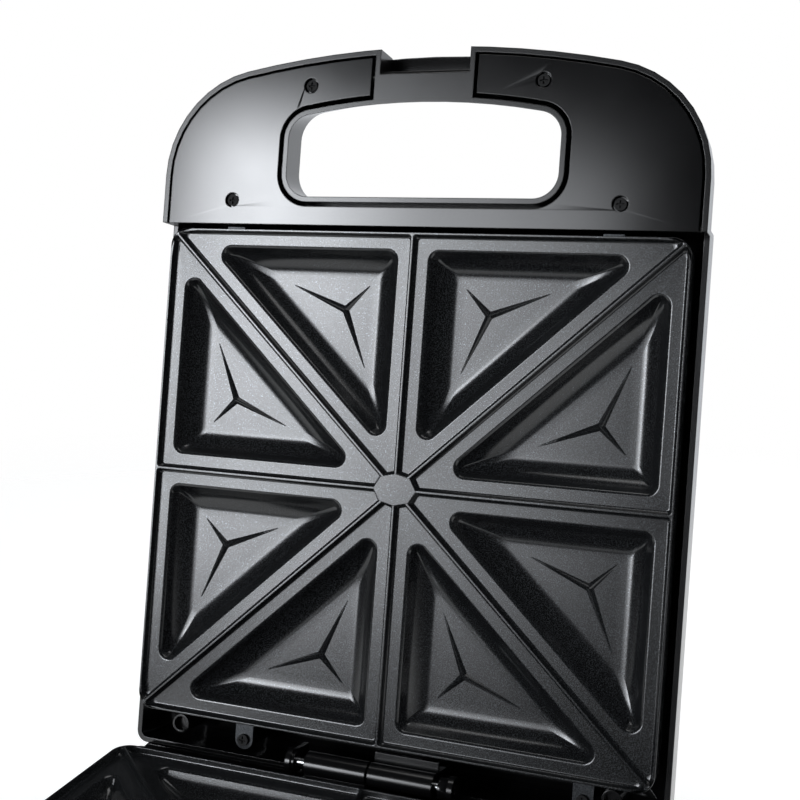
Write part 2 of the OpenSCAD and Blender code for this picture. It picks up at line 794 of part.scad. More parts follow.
// Three knife-edged arms on the floor of a pocket, from its middle towards its corners
module pocket_star(side) {
    p = sector_points(side, pocket_margin + pocket_slope, pocket_margin + pocket_slope);
    a = norm(p[1] - p[2]);
    b = norm(p[2] - p[0]);
    c = norm(p[0] - p[1]);
    mid = (a * p[0] + b * p[1] + c * p[2]) / (a + b + c);
    outline = [for (i = [0:2]) let (q = p[i], r = p[(i + 1) % 3])
        each [mid + star_reach * (q - mid), mid + star_w * unit((q - mid) + (r - mid))]];
    translate([0, 0, floor_z - plate_t / 2]) linear_extrude(plate_t / 2 + star_h) polygon(outline);
}

module cooking_plate() {
    difference() {
        union() {
            difference() {
                translate([0, 0, skirt_z]) linear_extrude(skirt_h) plate_outline(0);
                translate([0, 0, skirt_z - cut]) linear_extrude(land_z - plate_t - skirt_z + cut)
                    plate_outline(plate_t);
            }
            quarters() for (side = [false, true]) pocket(side, plate_t);
        }
        quarters() for (side = [false, true]) {
            recess(side);
            pocket(side, 0);
        }
    }
    translate([0, plate_yc, land_z - plate_t / 2]) linear_extrude(plate_t / 2 + rib_h) polygon([
        for (q = [[1, 1], [-1, 1], [-1, -1], [1, -1]])
            each [q[0] * q[1] > 0 ? [q[0] * hub_w / 2, 0] : [0, q[1] * hub_d / 2],
                  [q[0] * hub_cut[0], q[1] * hub_cut[1]]]]);
    quarters() for (side = [false, true]) pocket_star(side);
}

// ---------- plate fixings ----------

// Clip with a foot under the skirt and a round-ended tab that is screwed to the shell
module rear_clip(x) {
    y_up = plate_y0 - seat - clip_t;
    foot_z = clip_foot_z - clip_t;
    tab_z = clip_tab_z - clip_t;
    translate([x, 0, 0]) difference() {
        union() {
            translate([-clip_w / 2, y_up, foot_z]) cube([clip_w, flange_in, clip_t]);
            translate([-clip_w / 2, y_up, foot_z]) cube([clip_w, clip_t, clip_tab_z - foot_z]);
            translate([-clip_w / 2, clip_screw_y, tab_z])
                cube([clip_w, y_up - clip_screw_y + clip_t, clip_t]);
            translate([0, clip_screw_y, tab_z]) cylinder(r = clip_w / 2, h = clip_t);
        }
        translate([0, clip_screw_y, tab_z - cut]) cylinder(r = shank_r + seat, h = clip_t + 2 * cut);
    }
}

// Clip with a foot under the skirt and a leaf that springs against the handle's wall
module front_clip(x) {
    translate([x - clip_w / 2, plate_y1 + leaf_gap, clip_foot_z - clip_t])
        cube([clip_w, clip_t, front_leaf_z - clip_foot_z + clip_t]);
    translate([x - clip_w / 2, plate_y1 + leaf_gap + clip_t - flange_in, clip_foot_z - clip_t])
        cube([clip_w, flange_in, clip_t]);
}

module plate_clips() {
    for (x = [clip_left_x, clip_right_x]) rear_clip(x);
    for (sx = [-1, 1]) front_clip(sx * clip_front_x);
}

module clip_screws() {
    for (x = [clip_left_x, clip_right_x]) screw(x, clip_screw_y, clip_tab_z);
}

// ---------- heating ----------

// Quarter bend of the element from a centre, starting at the given angle
module bend(x, y, a) {
    translate([x, y, element_z]) rotate([0, 0, a]) rotate_extrude(angle = 90)
        translate([element_bend, 0]) circle(element_r);
}

module element() {
    x = element_w / 2;
    xs = x - element_bend;
    end_x = element_gap / 2;
    ys = [element_y0 + element_bend, element_y1 - element_bend];
    bend(xs, ys[1], 0);
    bend(-xs, ys[1], 90);
    bend(-xs, ys[0], 180);
    bend(xs, ys[0], 270);
    along_x(-xs, element_y1, element_z, element_r, 2 * xs);
    both_sides() {
        translate([x, ys[0], element_z]) rotate([-90, 0, 0]) cylinder(r = element_r, h = ys[1] - ys[0]);
        along_x(end_x + elbow_r, element_y0, element_z, element_r, xs - end_x - elbow_r);
        translate([end_x + elbow_r, element_y0, element_z - elbow_r]) rotate([90, 0, 0])
            rotate([0, 0, 90]) rotate_extrude(angle = 90) translate([elbow_r, 0]) circle(element_r);
        translate([end_x, element_y0, element_end_z])
            cylinder(r = element_r, h = element_z - elbow_r - element_end_z);
        translate([end_x, element_y0, tag_z]) cylinder(r = tag_r, h = element_end_z - tag_z + cut);
    }
}

// Sheet-metal pan that throws the heat back at the plate
module reflector(hatch) {
    top = skirt_z - seat;
    difference() {
        union() {
            translate([0, 0, top - reflector_t]) linear_extrude(reflector_t) plate_outline(flange_edge);
            translate([0, 0, -reflector_drop]) linear_extrude(top + reflector_drop)
                plate_outline(flange_in);
        }
        translate([0, 0, reflector_t - reflector_drop]) linear_extrude(reflector_drop)
            plate_outline(flange_in + reflector_t);
        translate([0, 0, -reflector_drop - cut]) linear_extrude(2 * cut + reflector_t) {
            if (hatch) translate([0, plate_yc]) circle(hatch_r);
            both_sides() translate([element_gap / 2, element_y0]) circle(element_r + element_clear);
        }
    }
}

// ---------- leads ----------

module rod(a, b, r) {
    v = b - a;
    translate(a) rotate([0, acos(v[2] / norm(v)), atan2(v[1], v[0])])
        cylinder(r = r, h = norm(v), $fn = lead_fn);
}

// Lead through a list of points, with flat ends and round bends
module lead(points, r) {
    for (i = [0:len(points) - 2]) rod(points[i], points[i + 1], r);
    for (i = [1:len(points) - 2]) translate(points[i]) sphere(r, $fn = lead_fn);
}

// ---------- parts of the base ----------

module base_handle_cover() { color("#202124") in_base() handle_cover(); }
module base_plate() { color("#3a3b3e") in_base() cooking_plate(); }
module base_element() { color("#8c8880") in_base() element(); }
module base_reflector() { color("#b4b6b8") in_base() reflector(true); }
module base_plate_clips() { color("#a9abad") in_base() plate_clips(); }
module base_clip_screws() { color("#1c1c1e") in_base() clip_screws(); }
module base_cover_screws() { color("#1c1c1e") in_base() cover_screw_set(); }

module base_feet() {
    color("#26272a") in_base()
        for (p = foot_places) translate([p[0], p[1], -base_depth - foot_h]) {
            cylinder(r = foot_r, h = foot_h);
            cylinder(r = foot_stem_r, h = foot_h + wall + foot_lip_h / 2);
            translate([0, 0, foot_h + wall]) cylinder(r = foot_stem_r + foot_lip, h = foot_lip_h);
        }
}

// Two pins: one at the left end of the base's barrel, one in the base's ear
module hinge_pins() {
    color("#c0c2c4") in_base() {
        along_x(lid_ear_x, 0, 0, pin_r, pin_l);
        along_x(base_ear_x + ear_t - pin_l, 0, 0, pin_r, pin_l);
    }
}

module latch_pin() {
    color("#c0c2c4") in_base() along_x(-block_w / 2, latch_y, -latch_drop, latch_pin_r, block_w);
}

module latch() {
    color("#202124") in_base() translate([0, latch_y, -latch_drop]) rotate([-latch_swing, 0, 0])
        translate([-latch_w / 2, -latch_y, latch_drop]) difference() {
            union() {
                along_x(0, latch_y, -latch_drop, latch_hub_r, latch_w);
                translate([0, latch_in_y, -latch_drop]) cube([latch_w, latch_t, latch_top + latch_drop]);
                translate([0, notch_y0 + ledge_out - hook_bite, hook_z0])
                    cube([latch_w, hook_bite + hook_gap + latch_t, hook_h]);
                translate([0, latch_in_y, latch_top - lip_h])
                    cube([latch_w, latch_y + lip_out - latch_in_y, lip_h]);
            }
            along_x(-cut, latch_y, -latch_drop, latch_pin_r + run_gap, latch_w + 2 * cut);
        }
}

module thermostat() {
    color("#6f6a62") in_base() translate([0, plate_yc, thermo_top - thermo_h]) {
        cylinder(r = thermostat_r, h = thermo_h);
        both_sides() translate([thermo_tag_x - thermo_tag_w / 2, -thermo_tag_t / 2,
                                thermo_tag_z - thermo_top + thermo_h])
            cube([thermo_tag_w, thermo_tag_t, thermo_top - thermo_h - thermo_tag_z + cut]);
    }
}

module terminal_block() {
    color("#d8d2c4") in_base() translate([inlet_x, terminal_y, wall + seat / 2 - base_depth]) difference() {
        translate([-terminal_w / 2, 0, 0]) cube([terminal_w, terminal_d, terminal_h]);
        for (i = [-1:1]) translate([i * terminal_pitch, terminal_d / 2, terminal_h - terminal_well_h])
            cylinder(r = terminal_well_r, h = terminal_well_h + cut);
    }
}

// Flanged bush in the rear wall, where a mains cord goes in
module cord_gland() {
    color("#26272a") in_base() translate([inlet_x, 0, -inlet_drop]) rotate([90, 0, 0]) difference() {
        union() {
            translate([0, 0, gland_in]) cylinder(r = gland_r, h = inlet_l);
            translate([0, 0, rear_reach + seat / 2]) cylinder(r = gland_flange_r, h = gland_flange_t);
            translate([0, 0, rear_reach - wall - gland_flange_t - seat / 2])
                cylinder(r = gland_nut_r, h = gland_flange_t);
        }
        translate([0, 0, gland_in - cut]) cylinder(r = inlet_r, h = inlet_l + 2 * cut);
    }
}

module base_wiring() {
    x_in = inlet_x + terminal_w / 2;
    y_mid = terminal_y + terminal_d / 2;
    y_out = terminal_y + terminal_d;
    color("#a86a3a") in_base() {
        lead([[lead_face_x, 0, 0], [base_lead_x, 0, 0], [base_lead_x, 0, block_lead_z],
              [base_lead_x, y_mid, block_lead_z], [x_in, y_mid, block_lead_z]], lead_r);
        for (i = [0, 1]) {
            x_from = inlet_x + (i - 1) * terminal_pitch;
            x_to = (i - 0.5) * element_gap;
            y_turn = y_out + lead_turn[i];
            lead([[x_from, y_out, block_lead_z], [x_from, y_turn, block_lead_z],
                  [x_to, y_turn, block_lead_z], [x_to, element_y0, block_lead_z],
                  [x_to, element_y0, tag_z]], wire_r);
        }
        thermostat_leads();
    }
}

// Two leads from the terminal block to the thermostat, along the floor of the base
module thermostat_leads() {
    y_out = terminal_y + terminal_d;
    for (sx = [-1, 1]) {
        x_from = inlet_x + terminal_pitch + sx * lead_half_gap;
        x_to = sx * thermo_tag_x;
        y_turn = y_out + lead_turn[2] - sx * lead_half_gap;
        lead([[x_from, y_out, deep_lead_z], [x_from, y_turn, deep_lead_z], [x_to, y_turn, deep_lead_z],
              [x_to, plate_yc, deep_lead_z], [x_to, plate_yc, thermo_tag_z]], wire_r);
    }
}

// ---------- parts of the lid ----------

module lid_handle_cover() { color("#202124") in_lid() handle_cover(); }
module lid_plate() { color("#3a3b3e") in_lid() cooking_plate(); }
module lid_element() { color("#8c8880") in_lid() element(); }
module lid_reflector() { color("#b4b6b8") in_lid() reflector(false); }
module lid_plate_clips() { color("#a9abad") in_lid() plate_clips(); }
module lid_clip_screws() { color("#1c1c1e") in_lid() clip_screws(); }
module lid_cover_screws() { color("#1c1c1e") in_lid() cover_screw_set(); }

module lens(x) {
    in_lid() translate([x, lens_y, -lid_depth]) {
        translate([0, 0, -lens_proud]) cylinder(r = lens_r, h = wall + lens_proud + lens_lip_h);
        translate([0, 0, wall + seat / 2]) cylinder(r = lens_r + lens_lip, h = lens_lip_h);
    }
}

module lamp(x) {
    in_lid() translate([x, lens_y, lamp_z]) cylinder(r = lamp_r, h = lamp_l);
}

module power_lens() { color("#8e1c14") lens(-lens_pitch / 2); }
module ready_lens() { color("#1f7a35") lens(lens_pitch / 2); }
module power_lamp() { color("#d98a5a") lamp(-lens_pitch / 2); }
module ready_lamp() { color("#d98a5a") lamp(lens_pitch / 2); }

module lamp_holder() {
    w = lens_pitch + 2 * lens_r + 2 * lens_lip;
    color("#d8d2c4") in_lid() difference() {
        translate([-w / 2, lens_y - holder_d / 2, lamp_z - seat]) cube([w, holder_d, holder_h]);
        both_sides() translate([lens_pitch / 2, lens_y, lamp_z - seat - cut])
            cylinder(r = lamp_r + seat, h = lamp_l + 2 * seat + cut);
    }
}

module thermal_fuse() {
    color("#e8e6df") in_lid() translate([lid_lead_x, fuse_y, fuse_z]) rotate([-90, 0, 0])
        cylinder(r = fuse_r, h = fuse_l);
}

module lid_wiring() {
    x = lid_lead_x;
    end_y = element_y0 - fan_back;
    y_in = fuse_y - fuse_lead;
    y_out = fuse_y + fuse_l;
    color("#a86a3a") in_lid() {
        lead([[lead_face_x, 0, 0], [x, 0, 0], [x, 0, thick_lead_z], [x, lead_fan_y, thick_lead_z]], lead_r);
        for (end_x = [-element_gap / 2, element_gap / 2])
            lead([[x, end_y, lead_z], [end_x, end_y, lead_z], [end_x, element_y0, lead_z],
                  [end_x, element_y0, tag_z]], wire_r);
        lead([[x, lead_fan_y, lead_z], [x, y_in, lead_z], [x, y_in, fuse_z], [x, fuse_y, fuse_z]], wire_r);
        lead([[x, y_out, fuse_z], [x, y_out + fuse_lead, fuse_z], [x, y_out + fuse_lead, lead_z],
              [x, lens_y - holder_d / 2, lead_z]], wire_r);
    }
}

base_shell();
base_handle_cover();
base_plate();
base_element();
base_reflector();
base_plate_clips();
base_clip_screws();
base_cover_screws();
base_feet();
hinge_pins();
latch_pin();
latch();
thermostat();
terminal_block();
cord_gland();
base_wiring();
lid_shell();
lid_handle_cover();
lid_plate();
lid_element();
lid_reflector();
lid_plate_clips();
lid_clip_screws();
lid_cover_screws();
power_lens();
ready_lens();
power_lamp();
ready_lamp();
lamp_holder();
thermal_fuse();
lid_wiring();
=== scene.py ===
# Sandwich toaster with its lid standing open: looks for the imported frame
import json
import math
import bpy
import bmesh
import numpy as np
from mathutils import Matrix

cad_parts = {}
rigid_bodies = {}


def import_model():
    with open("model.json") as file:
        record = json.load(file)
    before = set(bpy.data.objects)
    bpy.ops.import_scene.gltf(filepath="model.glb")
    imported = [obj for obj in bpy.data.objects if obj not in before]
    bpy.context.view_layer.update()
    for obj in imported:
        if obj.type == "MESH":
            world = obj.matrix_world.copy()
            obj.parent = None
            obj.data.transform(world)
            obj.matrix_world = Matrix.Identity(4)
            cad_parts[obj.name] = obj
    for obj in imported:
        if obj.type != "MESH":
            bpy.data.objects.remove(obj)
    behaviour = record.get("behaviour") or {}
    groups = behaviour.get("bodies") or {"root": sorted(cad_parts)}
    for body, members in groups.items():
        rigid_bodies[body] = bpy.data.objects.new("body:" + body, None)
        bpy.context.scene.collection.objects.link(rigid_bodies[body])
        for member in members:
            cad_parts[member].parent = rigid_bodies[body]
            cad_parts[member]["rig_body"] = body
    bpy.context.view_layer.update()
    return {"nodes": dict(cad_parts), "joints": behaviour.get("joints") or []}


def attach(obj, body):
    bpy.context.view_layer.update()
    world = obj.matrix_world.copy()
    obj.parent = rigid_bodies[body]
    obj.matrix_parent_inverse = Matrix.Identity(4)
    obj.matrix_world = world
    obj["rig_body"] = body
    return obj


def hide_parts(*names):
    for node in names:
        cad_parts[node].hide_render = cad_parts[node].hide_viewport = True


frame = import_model()
mm = 0.001

# Both halves are worked out in one half frame: x along the hinge, s from the hinge towards the
# handle, n out of the cooking face, all in millimetres.
hinge = next(j for j in frame["joints"] if j["name"] == "lid_hinge")
hingePlace = np.array(hinge["pos_m"])
openAngle = math.radians(hinge["range_deg"][1])


# World = hinge + (x, -s, n).
def intoBase(points):
    return hingePlace + points * np.array([1, -1, 1]) * mm


# World = hinge + (x, s cos b - n sin b, s sin b + n cos b), with b = 180 degrees - opening.
def intoLid(points):
    b = math.pi - openAngle
    x, s, n = points[..., 0], points[..., 1], points[..., 2]
    turned = [x, s * math.cos(b) - n * math.sin(b), s * math.sin(b) + n * math.cos(b)]
    return hingePlace + np.stack(turned, -1) * mm


halves = {"base": intoBase, "lid": intoLid}
mergeReach = 1e-6   # metres
sharpFrom = 32   # degrees between two faces of a built piece


# Quads between neighbours of a (rows, columns, 3) grid; a closed grid joins its last column to its first.
# Flipped quads run the other way round.
def gridBlock(points, closed=False, flip=False):
    rows, columns = points.shape[:2]
    index = np.arange(rows * columns).reshape(rows, columns)
    if closed:
        index = np.concatenate([index, index[:, :1]], 1)
    a, b, c, d = index[:-1, :-1], index[:-1, 1:], index[1:, 1:], index[1:, :-1]
    quads = np.stack([a, d, c, b] if flip else [a, b, c, d], -1).reshape(-1, 4)
    return points.reshape(-1, 3), quads


# Triangles from a closed ring of points to one centre point.
def fanBlock(ring, centre, flip=False):
    count = len(ring)
    here, after = np.arange(count), np.roll(np.arange(count), -1)
    middle = np.full(count, count)
    tris = np.stack([after, here, middle] if flip else [here, after, middle], -1)
    return np.vstack([ring, centre]), tris


# All points one after another, with each block's faces counted on from the ones before it.
def joinBlocks(blocks):
    starts = np.cumsum([0] + [len(points) for points, faces in blocks[:-1]])
    points = np.vstack([points for points, faces in blocks])
    faces = [face for (p, f), start in zip(blocks, starts) for face in (f + start).tolist()]
    return points, faces


# Joins the blocks and puts them into a half. The base is mirrored, so its faces are turned round. Points
# within mergeReach of each other become one, and normals weighted by area keep large flat faces flat.
def makePiece(name, blocks, half, material):
    points, faces = joinBlocks(blocks)
    if half == "base":
        faces = [face[::-1] for face in faces]
    mesh = bpy.data.meshes.new(name)
    mesh.from_pydata(halves[half](points).tolist(), [], faces)
    bm = bmesh.new()
    bm.from_mesh(mesh)
    bmesh.ops.remove_doubles(bm, verts=bm.verts, dist=mergeReach)
    bm.to_mesh(mesh)
    bm.free()
    mesh.shade_smooth()
    mesh.set_sharp_from_angle(angle=math.radians(sharpFrom))
    mesh.materials.append(material)
    piece = bpy.data.objects.new(name, mesh)
    bpy.context.scene.collection.objects.link(piece)
    weighted = piece.modifiers.new("normals", "WEIGHTED_NORMAL")
    weighted.keep_sharp = True
    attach(piece, half)
    return piece


# The vector divided by its length.
def unit(v):
    return v / np.linalg.norm(v, axis=-1, keepdims=True)


# Each corner is an arc about corner + bisector * radius / sin(half angle); straight runs join the arcs.
def roundedTriangle(corners, radius, cornerSteps=18, edgeSteps=12):
    before = unit(np.roll(corners, 1, 0) - corners)
    after = unit(np.roll(corners, -1, 0) - corners)
    half = np.arccos(np.sum(before * after, 1)) / 2
    centre = corners + unit(before + after) * (radius / np.sin(half))[:, None]
    t = np.linspace(0, 1, cornerSteps + 1)
    angle = np.arctan2(before[:, 0], -before[:, 1])[:, None] + (np.pi - 2 * half)[:, None] * t
    arcs = centre[:, None] + radius * np.stack([np.cos(angle), np.sin(angle)], -1)
    s = np.linspace(0, 1, edgeSteps + 1)[1:-1, None]
    runs = arcs[:, -1:] * (1 - s) + np.roll(arcs, -1, 0)[:, :1] * s
    return np.concatenate([arcs, runs], 1).reshape(-1, 2)


# Four arcs of the given radius about the corners (halfX - radius, halfY - radius), anticlockwise.
def roundedRectangle(halfX, halfY, radius, steps=8):
    t = np.linspace(0, np.pi / 2, steps + 1)
    angle = t + np.arange(4)[:, None] * np.pi / 2
    sign = np.array([[1, 1], [-1, 1], [-1, -1], [1, -1]])
    centre = sign * np.array([halfX - radius, halfY - radius])
    return (centre[:, None] + radius * np.stack([np.cos(angle), np.sin(angle)], -1)).reshape(-1, 2)


# A shader node with its settings; an input that is a socket is linked, any other is its value.
def addNode(tree, kind, inputs=None, **settings):
    node = tree.nodes.new("ShaderNode" + kind)
    for key, value in settings.items():
        setattr(node, key, value)
    for key, value in (inputs or {}).items():
        if isinstance(value, bpy.types.NodeSocket):
            tree.links.new(value, node.inputs[key])
        else:
            node.inputs[key].default_value = value
    return node


# sRGB hex to linear light: c / 12.92 up to 0.04045, else ((c + 0.055) / 1.055) ** 2.4.
def hexColour(text):
    c = np.array([int(text[i:i + 2], 16) / 255 for i in (1, 3, 5)])
    linear = np.where(c <= 0.04045, c / 12.92, ((c + 0.055) / 1.055) ** 2.4)
    return (*linear.tolist(), 1.0)


grainShare = 0.45   # of the grain in the roughness, the rest being cloud
edgeSamples = 6


# Two noises in Object coordinates. The fine grain moves the colour between two hex colours and makes the
# bump. Grain and cloud together move the roughness by its spread about its mean.
def grainyMaterial(name, look):
    material = bpy.data.materials.new(name)
    material.use_nodes = True
    tree = material.node_tree
    shader = tree.nodes["Principled BSDF"]
    place = addNode(tree, "TexCoord").outputs["Object"]
    grain = addNode(tree, "TexNoise", {
        "Vector": place, "Scale": 1 / (look["grainMm"] * mm), "Detail": 2.0, "Roughness": 0.6}).outputs["Fac"]
    cloud = addNode(tree, "TexNoise", {
        "Vector": place, "Scale": 1 / (look["cloudMm"] * mm), "Detail": 3.0, "Roughness": 0.5}).outputs["Fac"]
    fleck = addNode(tree, "MapRange", {
        "Value": grain, "From Min": look.get("fleckFrom", 0.35),
        "From Max": look.get("fleckTo", 0.65)}).outputs["Result"]
    colour = addNode(tree, "Mix", {"Factor": fleck}, data_type="RGBA")
    colour.inputs["A"].default_value = hexColour(look["colour"])
    colour.inputs["B"].default_value = hexColour(look["fleck"])
    tree.links.new(colour.outputs["Result"], shader.inputs["Base Color"])
    both = addNode(tree, "Mix", {"Factor": grainShare, "A": cloud, "B": grain}).outputs["Result"]
    rough = addNode(tree, "MapRange", {
        "Value": both, "From Min": 0.3, "From Max": 0.7, "To Min": look["roughness"] - look["spread"],
        "To Max": look["roughness"] + look["spread"]}).outputs["Result"]
    tree.links.new(rough, shader.inputs["Roughness"])
    bump = addNode(tree, "Bump", {"Height": grain, "Distance": look["bumpMm"] * mm, "Strength": 1.0})
    if "edgeMm" in look:   # sharp edges catch the light as if rounded by this radius
        edge = addNode(tree, "Bevel", {"Radius": look["edgeMm"] * mm}, samples=edgeSamples)
        tree.links.new(edge.outputs["Normal"], bump.inputs["Normal"])
    tree.links.new(bump.outputs["Normal"], shader.inputs["Normal"])
    if "flake" in look:   # the flecks are metal to this share
        flake = addNode(tree, "Math", {0: fleck, 1: look["flake"]}, operation="MULTIPLY").outputs[0]
        tree.links.new(flake, shader.inputs["Metallic"])
    else:
        shader.inputs["Metallic"].default_value = look.get("metallic", 0.0)
    shader.inputs["IOR"].default_value = look.get("ior", 1.5)
    return material


# PTFE non-stick coat on cast aluminium: a dark matt film with fine metal flecks, a broad soft sheen
nonStick = grainyMaterial("ptfe_non_stick_coat", {
    "colour": "#0f1011", "fleck": "#606366", "grainMm": 0.42, "cloudMm": 35, "roughness": 0.195,
    "spread": 0.02, "bumpMm": 0.009, "ior": 1.58, "fleckFrom": 0.54, "fleckTo": 0.7, "flake": 1.0})
# Moulded black PBT, polished tool: semi-gloss with the faint unevenness of a moulding
shellPlastic = grainyMaterial("moulded_pbt_semi_gloss", {
    "colour": "#0a0a0b", "fleck": "#0d0d0e", "grainMm": 0.8, "cloudMm": 30, "roughness": 0.2, "spread": 0.03,
    "bumpMm": 0.0015, "ior": 1.53, "edgeMm": 0.5})
# Moulded black PBT, fine spark-eroded tool: a satin sheen
coverPlastic = grainyMaterial("moulded_pbt_satin", {
    "colour": "#0a0a0b", "fleck": "#0e0e0f", "grainMm": 0.35, "cloudMm": 25, "roughness": 0.11,
    "spread": 0.02, "bumpMm": 0.001, "ior": 1.53, "edgeMm": 0.45})
# Zinc-plated spring steel: grey, slightly cloudy, with rolling marks
zincSteel = grainyMaterial("zinc_plated_steel", {
    "colour": "#2e2f31", "fleck": "#4c4e50", "grainMm": 0.6, "cloudMm": 6, "roughness": 0.36, "spread": 0.08,
    "bumpMm": 0.003, "metallic": 1.0, "edgeMm": 0.2})
# Black-oxide screws: a matt black film, with its colour set darker still and its sheen duller as painted
# shade, standing in for the shade deep in their wells
blackOxideAndPaintedShade = grainyMaterial("black_oxide_steel_and_painted_shade", {
    "colour": "#040405", "fleck": "#080809", "grainMm": 0.3, "cloudMm": 3, "roughness": 0.58, "spread": 0.06,
    "bumpMm": 0.002, "edgeMm": 0.25, "ior": 1.4})
# Nitrile rubber: matt and dusty
rubber = grainyMaterial("nitrile_rubber", {
    "colour": "#18191a", "fleck": "#242526", "grainMm": 0.4, "cloudMm": 8, "roughness": 0.72, "spread": 0.06,
    "bumpMm": 0.006})
# Ground steel of the pins
brightSteel = grainyMaterial("ground_steel", {
    "colour": "#a9abad", "fleck": "#c4c6c8", "grainMm": 0.3, "cloudMm": 4, "roughness": 0.26, "spread": 0.06,
    "bumpMm": 0.001, "metallic": 1.0})
# Sheath of a tubular heater: oxidised stainless steel
heaterSheath = grainyMaterial("oxidised_stainless_steel", {
    "colour": "#5c564c", "fleck": "#857d70", "grainMm": 0.8, "cloudMm": 14, "roughness": 0.46, "spread": 0.08,
    "bumpMm": 0.004, "metallic": 1.0})
# Aluminised sheet of the reflectors
aluminised = grainyMaterial("aluminised_sheet", {
    "colour": "#9b9d9f", "fleck": "#bcbec0", "grainMm": 1.2, "cloudMm": 18, "roughness": 0.3, "spread": 0.06,
    "bumpMm": 0.002, "metallic": 1.0})
# Steatite and other pale heat-proof mouldings
steatite = grainyMaterial("steatite", {
    "colour": "#cfc8b8", "fleck": "#e0dacb", "grainMm": 0.5, "cloudMm": 9, "roughness": 0.55, "spread": 0.05,
    "bumpMm": 0.004})
# Varnished glass-fibre sleeving of the leads: dark and woven
glassSleeve = grainyMaterial("glass_fibre_sleeve", {
    "colour": "#121213", "fleck": "#1e1c1a", "grainMm": 0.5, "cloudMm": 6, "roughness": 0.6, "spread": 0.05,
    "bumpMm": 0.02})


lensClearness = 0.45


# Clear polycarbonate dyed in the mass: a smooth face over a deep colour.
def tintedLens(name, colour):
    material = grainyMaterial(name, {
        "colour": colour, "fleck": colour, "grainMm": 1, "cloudMm": 5, "roughness": 0.12, "spread": 0.03,
        "bumpMm": 0.001, "ior": 1.58})
    shader = material.node_tree.nodes["Principled BSDF"]
    shader.inputs["Transmission Weight"].default_value = lensClearness
    return material


redLens = tintedLens("dyed_polycarbonate_red", "#8e1c14")
greenLens = tintedLens("dyed_polycarbonate_green", "#1f7a35")
lampGlass = tintedLens("soda_lime_glass", "#d98a5a")

nodeMaterials = {
    "element": heaterSheath, "reflector": aluminised, "plate_clips": zincSteel, "clip_screws": blackOxideAndPaintedShade,
    "cover_screws": blackOxideAndPaintedShade, "feet": rubber, "hinge_pins": brightSteel, "latch_pin": brightSteel,
    "latch": coverPlastic, "thermostat": aluminised, "terminal_block": steatite, "cord_gland": rubber,
    "wiring": glassSleeve, "power_lens": redLens, "ready_lens": greenLens, "power_lamp": lampGlass,
    "ready_lamp": lampGlass, "lamp_holder": steatite, "thermal_fuse": steatite, "shell": shellPlastic,
    "handle_cover": coverPlastic, "plate": nonStick}
for node, thing in frame["nodes"].items():
    kind = next(k for k in (node, node.split("_", 1)[-1]) if k in nodeMaterials)
    thing.data.materials.clear()
    thing.data.materials.append(nodeMaterials[kind])
print("materials ready:", len(bpy.data.materials))


# Both cooking plates, in millimetres and degrees. Ribs stand ribHeight over the land, and the pockets lie
# below it. lip and floorFillet are the radii of a pocket's wall at its top and its foot.
plate = {
    "width": 244, "depth": 229, "setback": 11.9, "crest": -0.5, "cornerRadius": 8, "leastCorner": 0.5,
    "skirt": 13.5, "cast": 2.6, "skirtEdge": 0.3, "ribHeight": 3.2, "ribTop": 0.9, "ribEdge": 0.25,
    "ribFlat": 0.3, "ribRound": 0.3, "ribFoot": 1.2, "ribAngle": 80, "landCorner": 1.5, "tipCorner": 0.05,
    "margin": 7.4, "pocketDepth": 9, "wallAngle": 62, "lip": 2.0, "lipIn": 0.7, "floorFillet": 11,
    "pocketCorner": 5.5, "floorCorner": 1.8, "floorScales": (0.75, 0.5, 0.25), "underRun": 9,
    "pocketSteps": 10, "edgeSteps": 5, "cornerSteps": 10, "starSteps": (9, 13), "starHeight": 1.4,
    "starWaist": 1.75, "starTip": 0.3, "starReach": (0.64, 0.59), "starRidge": 0.05, "starSink": 0.03,
    "starFade": 0.8, "cornerInset": 16.4}
# The hub is a low eight-sided boss. Its steps are growth of its outline and height over the crest, and its
# shoulder is the place of the slanting corners as shares of its half width and half depth.
hub = {
    "size": (20.4, 14.4), "shoulder": (0.68, 0.76), "footGrow": 1.6, "sunk": 0.5,
    "steps": ((-0.35, 0.04), (-0.15, 0.02), (0.05, -0.1), (0.22, -0.4))}
landN = plate["crest"] - plate["ribHeight"]
floorN = landN - plate["pocketDepth"]
plateMiddle = np.array([0, plate["setback"] + plate["depth"] / 2, 0])


# Triangle between two ribs and the plate's edge, its sides ribIn and edgeIn inside those lines.
# The diagonal rib is y = m x, so a line k = ribIn sqrt(1 + m^2) beside it stays ribIn away.
def sectorCorners(side, ribIn, edgeIn):
    x, y = plate["width"] / 2, plate["depth"] / 2
    m = y / x
    k = ribIn * math.sqrt(1 + m * m)
    if side:
        return np.array([[x - edgeIn, ribIn], [x - edgeIn, m * (x - edgeIn) - k], [(ribIn + k) / m, ribIn]])
    return np.array([[ribIn, y - edgeIn], [ribIn, m * ribIn + k], [(y - edgeIn - k) / m, y - edgeIn]])


# Run and fall of a wall: an arc of topRadius over the top edge, a straight at the wall's angle and an
# arc of footRadius into the foot. The straight takes the fall that the two arcs leave.
def bendProfile(start, drop, angle, topRadius, footRadius, steps=6):
    a = math.radians(angle)
    straight = (drop - (topRadius + footRadius) * (1 - math.cos(a))) / math.sin(a)
    t = np.linspace(0, a, steps)
    top = np.stack([topRadius * np.sin(t), -topRadius * (1 - np.cos(t))], 1)
    foot = np.stack([footRadius * (math.sin(a) - np.sin(t[::-1])),
                     -footRadius * (np.cos(t[::-1]) - math.cos(a))], 1)
    foot += top[-1] + straight * np.array([math.cos(a), -math.sin(a)])
    return np.vstack([top, foot]) + start


# The outline with one height for all its points.
def atHeight(outline, height):
    return np.column_stack([outline, np.full(len(outline), height)])


